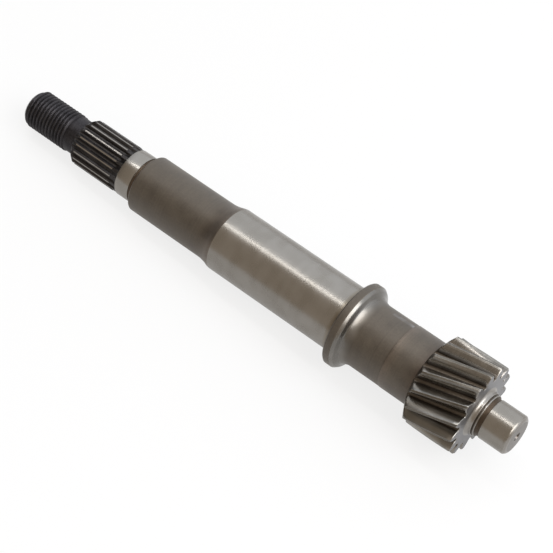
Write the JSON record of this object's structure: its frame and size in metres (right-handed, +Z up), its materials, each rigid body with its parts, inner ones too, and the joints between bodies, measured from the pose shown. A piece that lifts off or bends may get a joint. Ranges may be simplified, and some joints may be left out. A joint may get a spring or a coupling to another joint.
{
  "type": "transmission primary shaft",
  "caption": "One-piece stepped steel shaft with a threaded end, a spline, ground bearing seats, a thrust flange and a helical pinion cut in the solid.",
  "frame": {"origin": "on the shaft's axis, half way between its two end faces", "axes": "+X along the shaft's axis, from the threaded end towards the pinion; +Z up"},
  "size_m": [0.1768, 0.0275, 0.0276],
  "materials": {
    "shaft_steel": "case-hardened steel: ground bright on the seats and journals, matte grey-brown as heat treated on the body, flange and shank, near-black on the thread and in the spline"
  },
  "bodies": {
    "root": {"primary_shaft": "shaft_steel"}
  },
  "joints": []
}
